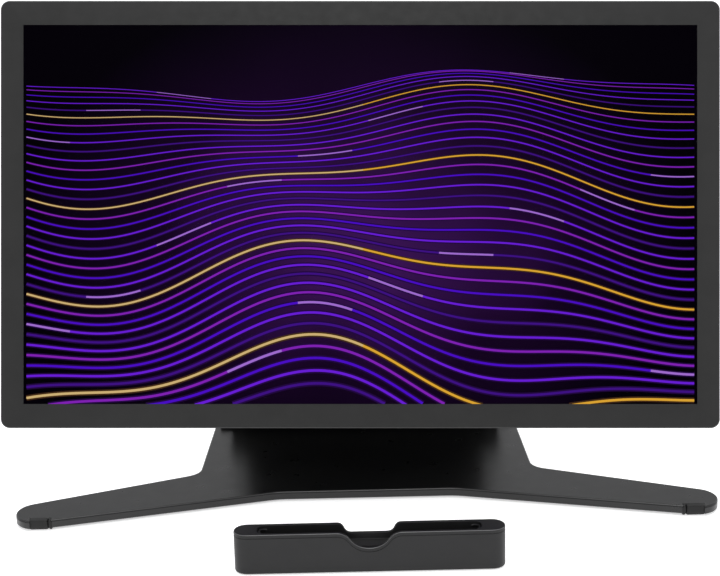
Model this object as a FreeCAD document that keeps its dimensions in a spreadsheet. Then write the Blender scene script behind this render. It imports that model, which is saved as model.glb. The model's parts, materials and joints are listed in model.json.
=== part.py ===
import FreeCAD, Part
import math
import os
import re
import Sketcher

# A large pen display on a low two-legged stand, with its pen tray.  Desk at z = 0, screen facing -Y,
# origin on the desk under the middle of the whole set.  Millimetres and degrees.
DIMENSIONS = {
    # display head
    "head_width": 637, "head_height": 378.5, "head_depth": 31, "corner_radius": 8, "rim": 1.2,
    "active_width": 596.7, "active_height": 335.7, "glass": 1.1, "frame_depth": 11, "wall": 2.4,
    "straight_wall": 8, "back_chamfer": 7, "seat": 1.3, "well_gap": 5, "edge_screw_x": 150,
    "edge_screw_y": 80,
    # where the head stands
    "incline": 73, "roll": 1.3, "hinge_behind": 62, "hinge_below": 15,
    "arm_length": 220.06, "arm_angle": 118.44, "lift_y": 141.5, "lift_z": 40,
    # controls on the back and on the top edge
    "key_x": 290, "key_y": 10, "key_pitch": 32, "key_rise": 1.4, "key_width": 14, "key_length": 22,
    "play": 0.3,
    "fan_x": 170, "fan_y": 120, "fan_radius": 27, "spindle": 1.5, "running": 0.06,
    "button_depth": 15, "power_x": 230, "settings_x": 205, "touch_x": 265,
    "socket_below": 128, "socket_radius": 2.1, "socket_length": 10, "port_x": 215, "port_y": 118,
    # mount between head and arm
    "vesa": 100, "plate_half": 60, "plate_thick": 3.5, "shaft_radius": 12, "stator_radius": 40,
    "tilt_pin_radius": 6, "tilt_barrel": 11, "lever_x": 64, "lever_depth": 50, "lever_pin": 2.5,
    "ring_radius": 15.5, "flange_radius": 30, "bracket_depth": 42, "bracket_thick": 4,
    "bracket_half": 48, "bar_depth": 56, "bar_gap": 15,
    "bar_thick": 6, "bar_half": 70, "lever_y": 22, "lever_half": 44, "lever_width": 11.6,
    "lever_thick": 5,
    # arm
    "arm_half": 118, "cover_half": 122, "arm_thick": 14, "cover_depth": 11, "arm_end": 192,
    "lift_barrel": 16, "lift_pin_radius": 8, "spring_pin_radius": 5, "spring_radius": 9,
    "spring_wire": 1.5, "spring_start": 42, "spring_turns": 10, "spring_pitch": 4.4,
    "pin_start": 40, "pin_step": 92, "spring_well": 94, "lift_pin_head": 11, "washer_radius": 14,
    "knuckle_x": 68, "knuckle_half": 16, "tilt_pin_half": 88, "tilt_pin_head": 9,
    # base
    "plate_top": 10.5, "plate_low": 2.4, "cover_low": 1.4, "plate_edge": 1.2,
    "cover_inset": 6, "base_front": -38.5,
    "tip_x": 295.3, "tip_y": -71.5, "tip_radius": 20, "front_angle": 14.07, "rear_angle": 22.48,
    "shoulder": 156.7, "rear_half": 148, "base_rear": 187, "blend": 60, "shoulder_fillet": 18,
    "rear_fillet": 25, "foot_in": 280.7, "foot_out": 301.5, "foot_depth": 8,
    "ear_in": 126, "ear_thick": 8, "ear_foot": 146, "ear_ahead": 16, "ear_behind": 36,
    "bolt_x": 140, "bolt_ahead": 8, "bolt_behind": 28, "bolt_radius": 2, "bolt_head": 4,
    "pad_x": 118, "pad_radius": 12,
    # pen tray
    "tray_x": 1.5, "tray_half": 113.8, "tray_deep": 22.5, "tray_tall": 37, "tray_y": -175.75,
    "trough_half": 93.7, "trough_wide": 15.4, "trough_floor": 21, "tray_wall": 2, "tray_pad": 1.2,
    "front_scoop": 14, "rear_scoop": 8.5, "tray_cover_thick": 1.6,
}
SIZE = DIMENSIONS
vector = FreeCAD.Vector

doc = FreeCAD.newDocument("pen_display")
sheet = doc.addObject("Spreadsheet::Sheet", "dims")
for row, (name, value) in enumerate(DIMENSIONS.items(), start=1):
    sheet.set(f"A{row}", name)
    sheet.set(f"B{row}", str(value))
    sheet.setAlias(f"B{row}", name)
doc.recompute()


# ---------------------------------------------------------------------------- expressions and frames
def bound(text):
    """An expression whose dimension names point at their cells."""
    return re.sub(r"[a-z_]+", lambda m: "dims." + m.group() if m.group() in SIZE else m.group(), str(text))


def number(text):
    result = sheet.evalExpression(bound(text))
    return float(getattr(result, "Value", result))


def negative(text):
    return f"-({text})"


def place(x="0", y="0", z="0", *turns):
    """A placement expression: a position, then turns given as (axis, angle)."""
    axes = {"x": "1; 0; 0", "y": "0; 1; 0", "z": "0; 0; 1"}
    turns = turns or (("z", "0"),)
    spin = " * ".join(f"create(<<rotation>>; create(<<vector>>; {axes[a]}); {t})" for a, t in turns)
    return f"create(<<placement>>; create(<<vector>>; {x}; {y}; {z}); {spin})"


TILT_Y = "(lift_y + arm_length * cos(arm_angle))"
TILT_Z = "(lift_z + arm_length * sin(arm_angle))"
GLASS_Y = f"{TILT_Y} - hinge_behind * sin(incline) + hinge_below * cos(incline)"
GLASS_Z = f"{TILT_Z} + hinge_behind * cos(incline) + hinge_below * sin(incline)"
DESK = place()
ARM = place("0", "lift_y", "lift_z", ("x", "arm_angle"))        # y runs up the arm, z out of its front
HEAD = place("0", GLASS_Y, GLASS_Z, ("x", "incline"))           # z out of the glass, centre on the glass
DISPLAY = place("0", GLASS_Y, GLASS_Z, ("x", "incline"), ("z", "-roll"))    # the same, turned in its plane


# ---------------------------------------------------------------------------- sketches and features
def rectangle(x, y, half_x, half_y):
    return [(f"{x} - ({half_x})", f"{y} - ({half_y})"), (f"{x} + {half_x}", f"{y} - ({half_y})"),
            (f"{x} + {half_x}", f"{y} + {half_y}"), (f"{x} - ({half_x})", f"{y} + {half_y}")]


def rounded(x, y, half_x, half_y, radius):
    """A rectangle with round corners; a corner with a third entry leaves along an arc."""
    left, right = f"{x} - ({half_x})", f"{x} + {half_x}"
    low, high = f"{y} - ({half_y})", f"{y} + {half_y}"
    return [(f"{left} + {radius}", low), (f"{right} - ({radius})", low, radius),
            (right, f"{low} + {radius}"), (right, f"{high} - ({radius})", radius),
            (f"{right} - ({radius})", high), (f"{left} + {radius}", high, radius),
            (left, f"{high} - ({radius})"), (left, f"{low} + {radius}", radius)]


def circle(x, y, radius):
    return ("circle", str(x), str(y), str(radius))


def arc_between(start, end, radius):
    """The shorter arc from start to end, turning left for a positive radius."""
    (x0, y0), (x1, y1) = (start, end) if radius > 0 else (end, start)
    chord = math.hypot(x1 - x0, y1 - y0)
    rise = math.sqrt(max(radius ** 2 - chord ** 2 / 4, 0))
    centre_x = (x0 + x1) / 2 - (y1 - y0) / chord * rise
    centre_y = (y0 + y1) / 2 + (x1 - x0) / chord * rise
    ring = Part.Circle(vector(centre_x, centre_y, 0), vector(0, 0, 1), abs(radius))
    first, last = math.atan2(y0 - centre_y, x0 - centre_x), math.atan2(y1 - centre_y, x1 - centre_x)
    return Part.ArcOfCircle(ring, first, last if last > first else last + 2 * math.pi)


def bind(sketch, kind, places, text):
    """One constraint whose value is an expression."""
    index = sketch.addConstraint(Sketcher.Constraint(kind, *places, number(text)))
    sketch.setExpression(f"Constraints[{index}]", bound(text))


def draw(sketch, shape):
    if shape[0] == "circle":
        _, x, y, radius = shape
        ring = Part.Circle(vector(number(x), number(y), 0), vector(0, 0, 1), number(radius))
        edge = sketch.addGeometry(ring, False)
        bind(sketch, "DistanceX", (-1, 1, edge, 3), x)
        bind(sketch, "DistanceY", (-1, 1, edge, 3), y)
        bind(sketch, "Radius", (edge,), radius)
        return
    points = [(number(corner[0]), number(corner[1])) for corner in shape]
    edges = []
    for index, corner in enumerate(shape):
        start, end = points[index], points[(index + 1) % len(points)]
        radius = number(corner[2]) if len(corner) == 3 else 0
        if radius:
            edge = sketch.addGeometry(arc_between(start, end, radius), False)
        else:
            edge = sketch.addGeometry(Part.LineSegment(vector(*start, 0), vector(*end, 0)), False)
        edges.append((edge, 2, 1) if radius < 0 else (edge, 1, 2))
    for index, corner in enumerate(shape):
        edge, first, last = edges[index]
        following, following_first, _ = edges[(index + 1) % len(edges)]
        sketch.addConstraint(Sketcher.Constraint("Coincident", edge, last, following, following_first))
        bind(sketch, "DistanceX", (-1, 1, edge, first), corner[0])
        bind(sketch, "DistanceY", (-1, 1, edge, first), corner[1])
        if len(corner) == 3:
            bind(sketch, "Radius", (edge,), f"abs({corner[2]})")


def origin_of(body, role):
    return next(item for item in body.Origin.OriginFeatures if item.Role == role)


def sketch_on(body, plane, level, shapes):
    sketch = body.newObject("Sketcher::SketchObject", "outline")
    sketch.AttachmentSupport = [(origin_of(body, plane + "_Plane"), "")]
    sketch.MapMode = "FlatFace"
    sketch.setExpression("AttachmentOffset.Base.z", bound(level))
    for shape in shapes:
        draw(sketch, shape)
    return sketch


nodes = []


def new_body(label, frame):
    body = doc.addObject("PartDesign::Body", label)
    body.Label = label
    body.setExpression("Placement", bound(frame))
    nodes.append(body)
    return body


def volume(body):
    return body.Tip.Shape.Volume if body.Tip else 0


def pad(body, plane, low, high, *shapes):
    """Material between two levels along the plane's axis; sketches on XZ face -Y."""
    level = negative(high) if plane == "XZ" else low
    before = volume(body)
    feature = body.newObject("PartDesign::Pad", "pad")
    feature.Profile = sketch_on(body, plane, level, shapes)
    feature.setExpression("Length", bound(f"({high}) - ({low})"))
    doc.recompute()
    if feature.Shape.Volume <= before:
        raise RuntimeError(f"{body.Label}: a pad adds nothing")
    return feature


def cut(body, plane, low, high, *shapes):
    level = negative(low) if plane == "XZ" else high
    before = volume(body)
    feature = body.newObject("PartDesign::Pocket", "pocket")
    feature.Profile = sketch_on(body, plane, level, shapes)
    feature.setExpression("Length", bound(f"({high}) - ({low})"))
    doc.recompute()
    if feature.Shape.Volume >= before:
        raise RuntimeError(f"{body.Label}: a pocket cuts nothing")
    return feature


def turn(body, shape):
    """A solid of revolution about X from an outline of (x, radius) in the XZ plane."""
    feature = body.newObject("PartDesign::Revolution", "turned")
    sketch = sketch_on(body, "XZ", "0", [shape])
    feature.Profile = sketch
    feature.ReferenceAxis = (sketch, ["H_Axis"])
    feature.Angle = 360
    doc.recompute()
    return feature


def soften(body, kind, size, test):
    """A fillet or chamfer on the edges whose middle passes the test."""
    base = body.Tip
    names = [f"Edge{i}" for i, edge in enumerate(base.Shape.Edges, 1) if test(edge.CenterOfMass, edge)]
    feature = body.newObject("PartDesign::" + kind, kind.lower())
    feature.Base = (base, names)
    feature.setExpression("Radius" if kind == "Fillet" else "Size", bound(size))
    doc.recompute()
    if not names or feature.Shape.isNull():
        raise RuntimeError(f"{body.Label}: {kind} failed on {len(names)} edges")
    return feature


def pattern(body, kind, originals, **settings):
    feature = body.newObject("PartDesign::" + kind, kind.lower())
    feature.Originals = originals
    for name, value in settings.items():
        setattr(feature, name, value)
    body.Tip = feature
    doc.recompute()
    return feature


def mirror_x(body, *originals):
    """The same features again on the other side of X = 0."""
    return pattern(body, "Mirrored", list(originals), MirrorPlane=(origin_of(body, "YZ_Plane"), [""]))


def slab(label, frame, low, high, half_x, half_y, radius="3"):
    body = new_body(label, frame)
    pad(body, "XY", low, high, rounded("0", "0", half_x, half_y, radius))
    return body


def near(value, target, reach=0.05):
    return abs(value - target) < reach


def screws(label, frame, places, head_low, head_high, head_radius, tip, shank_radius):
    """A group of equal screws along z: heads between two levels, shanks out to the tip."""
    body = new_body(label, frame)
    pad(body, "XY", head_low, head_high, *[circle(x, y, head_radius) for x, y in places])
    low, high = (head_high, tip) if number(tip) > number(head_high) else (tip, head_low)
    pad(body, "XY", low, high, *[circle(x, y, shank_radius) for x, y in places])
    return body


# ---------------------------------------------------------------------------- base
def base_outline(inset):
    """Front edge, two legs with round tips, shoulders and straight sides, anticlockwise."""
    radius = f"(tip_radius - {inset})"
    front = (f"tip_x - {radius} * sin(front_angle)", f"tip_y - {radius} * cos(front_angle)")
    rear = (f"tip_x + {radius} * sin(rear_angle)", f"tip_y + {radius} * cos(rear_angle)")
    run = f"(base_front + {inset} - ({front[1]})) / tan(front_angle)"
    middle = (f"{front[0]} - {run}", f"base_front + {inset}")
    armpit = (f"shoulder - {inset}", f"{rear[1]} + ({rear[0]} - shoulder + {inset}) * tan(rear_angle)")
    corner = (f"rear_half - {inset}", f"base_rear - {inset}")
    right = [middle, front + (radius,), rear, armpit, corner]
    left = [(negative(point[0]), point[1]) for point in (corner, armpit, rear, front, middle)]
    left[2] += (radius,)
    return right + left


def soften_base(body):
    shoulder_y = number(base_outline("0")[3][1])

    def vertical(edge):
        ends = edge.Vertexes
        return len(ends) == 2 and near(ends[0].X, ends[1].X, 0.01) and near(ends[0].Y, ends[1].Y, 0.01)

    soften(body, "Fillet", "blend",
           lambda m, e: vertical(e) and m.y < SIZE["base_front"] + 8 and abs(m.x) < 100)
    soften(body, "Fillet", "shoulder_fillet",
           lambda m, e: vertical(e) and near(abs(m.x), SIZE["shoulder"], 8) and near(m.y, shoulder_y, 12))
    soften(body, "Fillet", "rear_fillet", lambda m, e: vertical(e) and m.y > SIZE["base_rear"] - 10)


foot_notches = [rectangle(f"{side} * (foot_in + foot_out) / 2", "tip_y - tip_radius",
                          "(foot_out - foot_in) / 2", "foot_depth") for side in (-1, 1)]
bolt_rows = ("lift_y - bolt_ahead", "lift_y + bolt_behind")
bolts = [(f"{side} * bolt_x", y) for side in (-1, 1) for y in bolt_rows]

plate = new_body("base_plate", DESK)
pad(plate, "XY", "plate_low", "plate_top", base_outline("0"))
soften_base(plate)
soften(plate, "Chamfer", "plate_edge", lambda m, e: near(m.z, SIZE["plate_top"], 0.01))
cut(plate, "XY", "plate_low - 1", "plate_top + 1", *foot_notches)
cut(plate, "XY", "plate_low - 1", "plate_top + 1", *[circle(x, y, "bolt_radius + 0.2") for x, y in bolts])
cut(plate, "XY", "plate_low - 1", "plate_low + 2.6", *[circle(x, y, "bolt_head + 0.2") for x, y in bolts])

under = new_body("base_bottom_cover", DESK)
pad(under, "XY", "cover_low", "plate_low", base_outline("cover_inset"))
soften_base(under)
cut(under, "XY", "cover_low - 1", "plate_low + 1", *foot_notches)

feet = new_body("front_feet", DESK)
foot_front = "tip_y - tip_radius"
foot_profile = [(f"{foot_front} + 1", "plate_top - 0.2"), (f"{foot_front} + 5.5", "0"),
                (f"{foot_front} + 25", "0"), (f"{foot_front} + 25", "cover_low - 0.1"),
                (f"{foot_front} + foot_depth - 0.2", "cover_low - 0.1"),
                (f"{foot_front} + foot_depth - 0.2", "plate_top - 0.2")]
mirror_x(feet, pad(feet, "YZ", "foot_in + 0.2", "foot_out - 0.2", foot_profile))

rear_pads = new_body("rear_pads", DESK)
pad(rear_pads, "XY", "0", "cover_low",
    *[circle(f"{side} * pad_x", y, "pad_radius") for side in (-1, 1) for y in (15, 160)])

brackets = new_body("base_brackets", DESK)
bracket_foot = pad(brackets, "XY", "plate_top", "plate_top + 6",
                   rounded("(ear_in + ear_foot) / 2", "lift_y + (ear_behind - ear_ahead) / 2",
                           "(ear_foot - ear_in) / 2", "(ear_behind + ear_ahead) / 2", "3"))
bracket_ear = pad(brackets, "YZ", "ear_in", "ear_in + ear_thick",
                  [("lift_y - ear_ahead + 0.6", "plate_top + 1"),
                   ("lift_y + ear_behind - 2", "plate_top + 1"),
                   ("lift_y + 15.4", "lift_z + 2"), ("lift_y - 15.4", "lift_z + 2")])
bracket_eye = pad(brackets, "YZ", "ear_in", "ear_in + ear_thick", circle("lift_y", "lift_z", "lift_barrel"))
bracket_bore = cut(brackets, "YZ", "ear_in - 1", "ear_in + ear_thick + 1",
                   circle("lift_y", "lift_z", "lift_pin_radius"))
bracket_holes = cut(brackets, "XY", "plate_top - 1", "plate_top + 5",
                    *[circle(x, y, "bolt_radius + 0.2") for x, y in bolts[2:]])
mirror_x(brackets, bracket_foot, bracket_ear, bracket_eye, bracket_bore, bracket_holes)
# a wall between the two ears closes the slot under the arm
pad(brackets, "XY", "plate_top", "lift_z - lift_barrel - 1.5",
    rectangle("0", "lift_y", "ear_in + 1", "2.5"))
screws("bracket_screws", DESK, bolts, "plate_low + 0.1", "plate_low + 2.5", "bolt_head",
       "plate_top + 4.8", "bolt_radius")

EAR_OUT = "(ear_in + ear_thick)"
pin_profile = [("pin_start", "0"), (f"{EAR_OUT} + 3", "0"), (f"{EAR_OUT} + 3", "lift_pin_head"),
               (EAR_OUT, "lift_pin_head"), (EAR_OUT, "lift_pin_radius"),
               ("pin_step", "lift_pin_radius"), ("pin_step", "spring_pin_radius"),
               ("pin_start", "spring_pin_radius")]
AXLE = place("0", "lift_y", "lift_z")
pins = new_body("lift_pins", AXLE)
mirror_x(pins, turn(pins, pin_profile))
washers = new_body("lift_washers", AXLE)
mirror_x(washers, pad(washers, "YZ", "ear_in - 1.7", "ear_in", circle("0", "0", "washer_radius"),
                      circle("0", "0", "lift_pin_radius + play")))
springs = new_body("lift_springs", place("0", "lift_y", "lift_z", ("y", "90")))
coil = springs.newObject("PartDesign::AdditiveHelix", "coil")
coil.Profile = sketch_on(springs, "XZ", "0", [circle("spring_radius", "spring_start", "spring_wire")])
coil.ReferenceAxis = (coil.Profile[0], ["V_Axis"])
coil.Mode = 0
coil.setExpression("Pitch", bound("spring_pitch"))
coil.setExpression("Height", bound("spring_pitch * spring_turns"))
doc.recompute()
pattern(springs, "Mirrored", [coil], MirrorPlane=(origin_of(springs, "XY_Plane"), [""]))

# ---------------------------------------------------------------------------- arm
arm = new_body("arm_frame", ARM)
pad(arm, "XY", "-arm_thick / 2", "arm_thick / 2",
    rectangle("0", "(arm_end + 6) / 2", "arm_half", "(arm_end - 6) / 2"))
pad(arm, "YZ", "-ear_in + 2", "ear_in - 2", circle("0", "0", "lift_barrel"))
knuckles = [rectangle(f"{side} * knuckle_x", "arm_length - 18", "knuckle_half", "18") for side in (-1, 1)]
pad(arm, "XY", "-arm_thick / 2", "arm_thick / 2", *knuckles)
for side in (-1, 1):
    pad(arm, "YZ", f"{side} * knuckle_x - knuckle_half", f"{side} * knuckle_x + knuckle_half",
        circle("arm_length", "0", "tilt_barrel + 2"))
cut(arm, "YZ", "-ear_in - 1", "ear_in + 1", circle("0", "0", "lift_pin_radius + 2"))
cut(arm, "YZ", "-spring_well", "spring_well", circle("0", "0", "spring_radius + 3.5"))
cut(arm, "YZ", "-tilt_pin_half - 2", "tilt_pin_half + 2", circle("arm_length", "0", "tilt_pin_radius"))
pockets = [rounded(x, 108, 24, 66, 8) for x in (-84, -28, 28, 84)]
cut(arm, "XY", "-1", "arm_thick / 2 + 1", *pockets)
bushes = new_body("arm_bushes", AXLE)
mirror_x(bushes, pad(bushes, "YZ", "spring_well + 2", "ear_in - 2", circle("0", "0", "lift_pin_radius + 2"),
                     circle("0", "0", "lift_pin_radius + running")))


def arm_cover(label, side):
    """A shallow channel over one face of the arm frame; side is +1 in front and -1 behind."""
    body = new_body(label, ARM)
    low, high = ("0.15", "cover_depth") if side > 0 else ("-cover_depth", "-0.15")
    pad(body, "XY", low, high, rectangle("0", "(arm_end + 20) / 2", "cover_half", "(arm_end - 20) / 2"))
    face = side * SIZE["cover_depth"]
    soften(body, "Fillet", "5",
           lambda m, e: near(m.z, face, 0.01) and near(abs(m.x), SIZE["cover_half"], 0.01))
    inner = ("0.1", "arm_thick / 2 + 0.4") if side > 0 else ("-arm_thick / 2 - 0.4", "-0.1")
    cut(body, "XY", *inner, rectangle("0", "(arm_end + 20) / 2", "arm_half + 0.3", "arm_end / 2"))
    return body


arm_cover("arm_front_cover", 1)
arm_cover("arm_rear_cover", -1)
tilt_pin = new_body("tilt_pin", place("0", TILT_Y, TILT_Z))
pin_ledge = "tilt_pin_half - 4"
turn(tilt_pin, [("-tilt_pin_half", "0"), ("tilt_pin_half", "0"), ("tilt_pin_half", "tilt_pin_head"),
                (pin_ledge, "tilt_pin_head"), (pin_ledge, "tilt_pin_radius"),
                (negative(pin_ledge), "tilt_pin_radius"), (negative(pin_ledge), "tilt_pin_head"),
                ("-tilt_pin_half", "tilt_pin_head")])

# ---------------------------------------------------------------------------- tilting mount
tilt = new_body("tilt_bracket", HEAD)
BRACKET_BACK = "(-bracket_depth - bracket_thick)"
pad(tilt, "XY", BRACKET_BACK, "-bracket_depth", rounded("0", "3", "bracket_half", "43", "6"))
for side in (-1, 1):
    pad(tilt, "YZ", f"{side} * (bracket_half - 5) - 5", f"{side} * (bracket_half - 5) + 5",
        [("-38", "-bracket_depth - 1"), ("-hinge_below - 10.5", "-hinge_behind"),
         ("-hinge_below + 10.5", "-hinge_behind"), ("14", "-bracket_depth - 1")])
pad(tilt, "YZ", "-bracket_half", "bracket_half", circle("-hinge_below", "-hinge_behind", "tilt_barrel"))
pad(tilt, "XY", "-bar_depth", "-bracket_depth - 0.5",
    *[rectangle("0", f"lever_y {sign} bar_gap", "bar_half", "bar_thick / 2") for sign in "-+"])
cut(tilt, "YZ", "-bracket_half - 2", "bracket_half + 2",
    circle("-hinge_below", "-hinge_behind", "tilt_pin_radius + running"))
cut(tilt, "XY", "-bar_depth - 0.5", "-bracket_depth + 0.5", circle(0, 0, "ring_radius + 1.5"))
lever_axes = [circle(f"{side} * lever_x", "-lever_depth", "lever_pin") for side in (1, -1)]
PIN_REACH = "(bar_gap + bar_thick / 2 + 1)"
cut(tilt, "XZ", f"lever_y - {PIN_REACH}", f"lever_y + {PIN_REACH}", *lever_axes)
lever_pins = new_body("lever_pins", HEAD)
pad(lever_pins, "XZ", f"lever_y - {PIN_REACH} + 0.5", f"lever_y + {PIN_REACH}", *lever_axes)
stator = new_body("rotation_stator", HEAD)
pad(stator, "XY", "-bracket_depth", "-bracket_depth + 5.7", circle(0, 0, "stator_radius"),
    circle(0, 0, "shaft_radius + running"))


def lever(label, side):
    """A squeeze paddle on an upright pin, reaching sideways behind the head."""
    body = new_body(label, HEAD)
    hub = f"{side} * lever_x"
    pad(body, "XY", "-lever_depth - lever_thick / 2", "-lever_depth + lever_thick / 2",
        rounded(f"{side} * (lever_x + lever_half - 2)", "lever_y", "lever_half", "lever_width", "8"))
    pad(body, "XZ", "lever_y - lever_width - 0.1", "lever_y + lever_width + 0.1",
        circle(hub, "-lever_depth", "lever_pin * 2"))
    cut(body, "XZ", "lever_y - lever_width - 1", "lever_y + lever_width + 1",
        circle(hub, "-lever_depth", "lever_pin + running"))
    return body


lever("release_lever_left", -1)
lever("release_lever_right", 1)

# ---------------------------------------------------------------------------- display head
half_width, half_height = "head_width / 2", "head_height / 2"
BACK = "-head_depth"
INNER_BACK = "(-head_depth + wall)"
INSIDE_RIM = (f"{half_width} - rim", f"{half_height} - rim", "corner_radius - rim")
slab("front_glass", DISPLAY, "-glass", "0", *INSIDE_RIM)
mask = slab("bezel_mask", DISPLAY, "-seat + 0.02", "-glass", *INSIDE_RIM)
cut(mask, "XY", "-seat - 1", "0", rectangle("0", "0", "active_width / 2", "active_height / 2"))
# layers behind the glass: how deep each begins and ends
STACK = [("lcd_panel", 1.3, 2.9), ("light_guide", 2.9, 5.4), ("backlight_tray", 5.4, 6.2),
         ("pen_sensor_board", 6.9, 8.4)]
LAYER = ("active_width / 2 + 3", "active_height / 2 + 3")
for name, near_side, far_side in STACK:
    slab(name, DISPLAY, f"-{far_side}", f"-{near_side}", *LAYER, "1")

frame = slab("mid_frame", DISPLAY, "-frame_depth", "0", half_width, half_height, "corner_radius")
soften(frame, "Chamfer", "0.9", lambda m, e: near(m.z, 0, 0.01) and m.y < -number(half_height) + 0.1)
cut(frame, "XY", "-seat", "1", rounded("0", "0", *INSIDE_RIM))
cut(frame, "XY", "-frame_depth - 1", "0",
    rectangle("0", "0", "active_width / 2 + well_gap", "active_height / 2 + well_gap"))
SIGNS = [(side, end) for side in (-1, 1) for end in (-1, 1)]
edge_screws = [(f"{side} * (head_width / 2 - 9)", f"{end} * edge_screw_y") for side, end in SIGNS]
edge_screws += [(f"{side} * edge_screw_x", f"{end} * (head_height / 2 - 9)") for side, end in SIGNS]
cut(frame, "XY", "-frame_depth - 1", "-5.5", *[circle(x, y, 1.5) for x, y in edge_screws])

shell = slab("rear_housing", DISPLAY, BACK, "-frame_depth", half_width, half_height, "corner_radius")
soften(shell, "Chamfer", "back_chamfer", lambda m, e: near(m.z, -SIZE["head_depth"], 0.01))
cut(shell, "XY", "-frame_depth - straight_wall", "-frame_depth + 1",
    rounded("0", "0", f"{half_width} - wall", f"{half_height} - wall", "corner_radius - wall"))
cut(shell, "XY", INNER_BACK, "-frame_depth",
    rounded("0", "0", f"{half_width} - 15", f"{half_height} - 15", "4"))
vesa_holes = [(f"{side} * vesa / 2", f"{end} * vesa / 2") for side, end in SIGNS]
pad(shell, "XY", f"{INNER_BACK} - 0.5", "-18", *[circle(x, y, 5) for x, y in vesa_holes])
cut(shell, "XY", f"{BACK} - 1", "-19", *[circle(x, y, 2.05) for x, y in vesa_holes])
cut(shell, "XY", f"{BACK} - 1", "-frame_depth + 1", *[circle(x, y, 1.55) for x, y in edge_screws])
cut(shell, "XY", f"{BACK} - 1", "-21", *[circle(x, y, 3.1) for x, y in edge_screws])
key_places = [(f"{side} * key_x", f"({row} - 1.5) * key_pitch + key_y")
              for side in (-1, 1) for row in range(4)]
cut(shell, "XY", f"{BACK} - 1", f"{INNER_BACK} + 1",
    *[rectangle(x, y, "key_width / 2 + play", "key_length / 2 + play") for x, y in key_places])
cut(shell, "XY", f"{BACK} - 1", f"{INNER_BACK} + 1", rounded("port_x", "-port_y", "53", "7", "3"))
for side in (-1, 1):
    slot = cut(shell, "XY", f"{BACK} - 1", f"{INNER_BACK} + 1",
               rounded(f"{side} * fan_x - 24", "fan_y", "1.5", "17", "1.4"))
    pattern(shell, "LinearPattern", [slot], Direction=(origin_of(shell, "X_Axis"), [""]), Length=48.0,
            Occurrences=9)
TOP_EDGE = [("power_x", "6.3"), ("settings_x", "6.3"), ("touch_x", "6")]
cut(shell, "XZ", f"{half_height} - wall - 1", f"{half_height} + 1",
    *[rounded(x, "-button_depth", half, "2.3", "2.1") for x, half in TOP_EDGE])
bosses = [rectangle(f"{side} * (head_width / 2 - 8)", "-socket_below", "6.9", "6") for side in (-1, 1)]
pad(shell, "XY", "-frame_depth - straight_wall - 0.5", "-frame_depth - 0.2", *bosses)
cut(shell, "YZ", f"-({half_width}) - 1", f"{half_width} + 1", circle("-socket_below", "-button_depth", 3.1))

inserts = new_body("side_inserts", DISPLAY)
mirror_x(inserts, pad(inserts, "YZ", f"{half_width} - 0.2 - socket_length", f"{half_width} - 0.2",
                      circle("-socket_below", "-button_depth", 3.1),
                      circle("-socket_below", "-button_depth", "socket_radius")))
screws("housing_screws", DISPLAY, edge_screws, "-23.2", "-21", 2.9, "-6", 1.45)

for index, (x, y) in enumerate(key_places):
    key = new_body(f"shortcut_key_{index + 1}", DISPLAY)
    pad(key, "XY", f"{BACK} - key_rise", f"{INNER_BACK} + play + 0.1",
        rounded(x, y, "key_width / 2", "key_length / 2", "3"))
    soften(key, "Fillet", "0.7", lambda m, e: near(m.z, -SIZE["head_depth"] - SIZE["key_rise"], 0.01))
    pad(key, "XY", f"{INNER_BACK} + play", f"{INNER_BACK} + play + 1",
        rounded(x, y, "key_width / 2 + 1.5", "key_length / 2 + 1.5", "3"))
key_boards = new_body("key_boards", DISPLAY)
mirror_x(key_boards, pad(key_boards, "XY", "-25.6", "-24",
                         rounded("key_x", "key_y", "11", "2 * key_pitch", "2")))

fans = new_body("fan_housings", DISPLAY)
fan_case = pad(fans, "XY", "-27.5", "-17.5", rounded("fan_x", "fan_y", "33", "33", "5"))
fan_well = cut(fans, "XY", "-28", "-19", circle("fan_x", "fan_y", "fan_radius + 3"))
fan_spindle = pad(fans, "XY", "-26", "-18.5", circle("fan_x", "fan_y", "spindle"))
mirror_x(fans, fan_case, fan_well, fan_spindle)


def fan_rotor(label, side):
    body = new_body(label, DISPLAY + " * " + place(f"{side} * fan_x", "fan_y", "0"))
    pad(body, "XY", "-25.5", "-19.5", circle(0, 0, 11))
    blade = pad(body, "XY", "-25", "-20", rectangle("fan_radius / 2 + 5", "2", "fan_radius / 2 - 5", "0.6"))
    pattern(body, "PolarPattern", [blade], Axis=(origin_of(body, "Z_Axis"), [""]), Angle=360.0,
            Occurrences=11)
    cut(body, "XY", "-27", "-19", circle(0, 0, "spindle + running"))
    return body


fan_rotor("fan_rotor_left", -1)
fan_rotor("fan_rotor_right", 1)

BOARD_BACK, BOARD_FRONT = "-16", "-14.4"
chassis = slab("chassis_plate", DISPLAY, "-10.4", "-9.4", *LAYER, "2")
POSTS = [(74, 54), (-74, 54), (-74, -54), (74, -54), (-195, 150), (195, 150), (170, -118), (260, -118)]
pad(chassis, "XY", BOARD_FRONT, "-10.2", *[circle(x, y, 3) for x, y in POSTS])
board = slab("main_board", DISPLAY, BOARD_BACK, BOARD_FRONT, "84", "62")
pad(board, "XY", "-17.2", "-15.9", rectangle("0", "0", "17", "17"), rectangle("52", "28", "8", "10"),
    rectangle("-52", "28", "8", "10"), rectangle("-50", "-30", "12", "6"), rectangle("48", "-28", "7", "7"))
driver = new_body("driver_board", DISPLAY)
pad(driver, "XY", BOARD_BACK, BOARD_FRONT, rounded("0", "150", "205", "11", "2"))
spreader = new_body("heat_spreader", DISPLAY)
pad(spreader, "XY", "-18.4", "-17.2", rounded("0", "0", "34", "34", "3"))
pad(spreader, "XY", "-24", "-18.3", *[rectangle(x, "0", "0.6", "32") for x in range(-30, 31, 6)])
io_board = new_body("io_board", DISPLAY)
pad(io_board, "XY", BOARD_BACK, BOARD_FRONT, rounded("port_x", "-port_y", "56", "16", "2"))
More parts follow.
